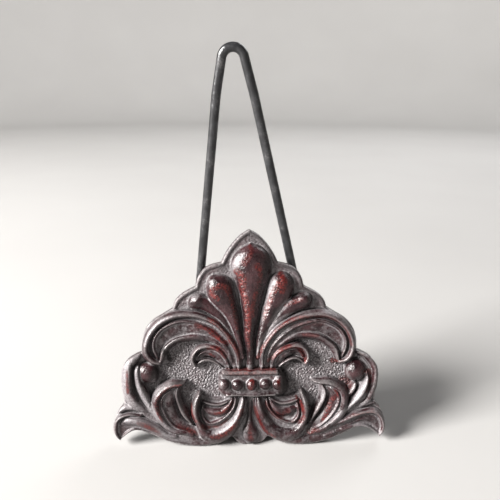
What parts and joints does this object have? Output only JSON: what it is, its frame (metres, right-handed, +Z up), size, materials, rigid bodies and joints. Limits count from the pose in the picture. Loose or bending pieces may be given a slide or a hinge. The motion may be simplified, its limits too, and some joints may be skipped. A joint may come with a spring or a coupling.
{
  "type": "doorstop",
  "caption": "Free-standing cast-iron doorstop: an ornamental face plate leans back on a wedge foot, and a tall bent-wire handle swings behind it to carry it or drag it.",
  "frame": {"origin": "on the floor, in the middle of the whole doorstop's box from side to side and from front to back", "axes": "+X to the right across the face, +Y from the face towards the foot's rear end, +Z up"},
  "size_m": [0.1528, 0.0912, 0.2128],
  "materials": {
    "face_iron": "dark purple-brown gunmetal, satin, with red oxide rubbed on the high leaves and bare worn edges",
    "foot_iron": "dark gunmetal, matt as-cast",
    "handle_wire": "blackened, mottled satin",
    "screw_steel": "dulled steel",
    "washer_steel": "dulled spring steel",
    "pad_rubber": "matt black"
  },
  "bodies": {
    "stand": {"face_casting": "face_iron", "wedge_foot": "foot_iron", "left_face_screw": "screw_steel", "right_face_screw": "screw_steel", "left_lock_washer": "washer_steel", "right_lock_washer": "washer_steel", "front_pad": "pad_rubber", "rear_pad": "pad_rubber"},
    "handle": {"handle": "handle_wire"}
  },
  "joints": [
    {"name": "handle_swing", "type": "hinge", "parent": "stand", "child": "handle", "pos_m": [0, -0.00237, 0.012], "axis": [-1, 0, 0], "range_deg": [0, 96]}
  ]
}
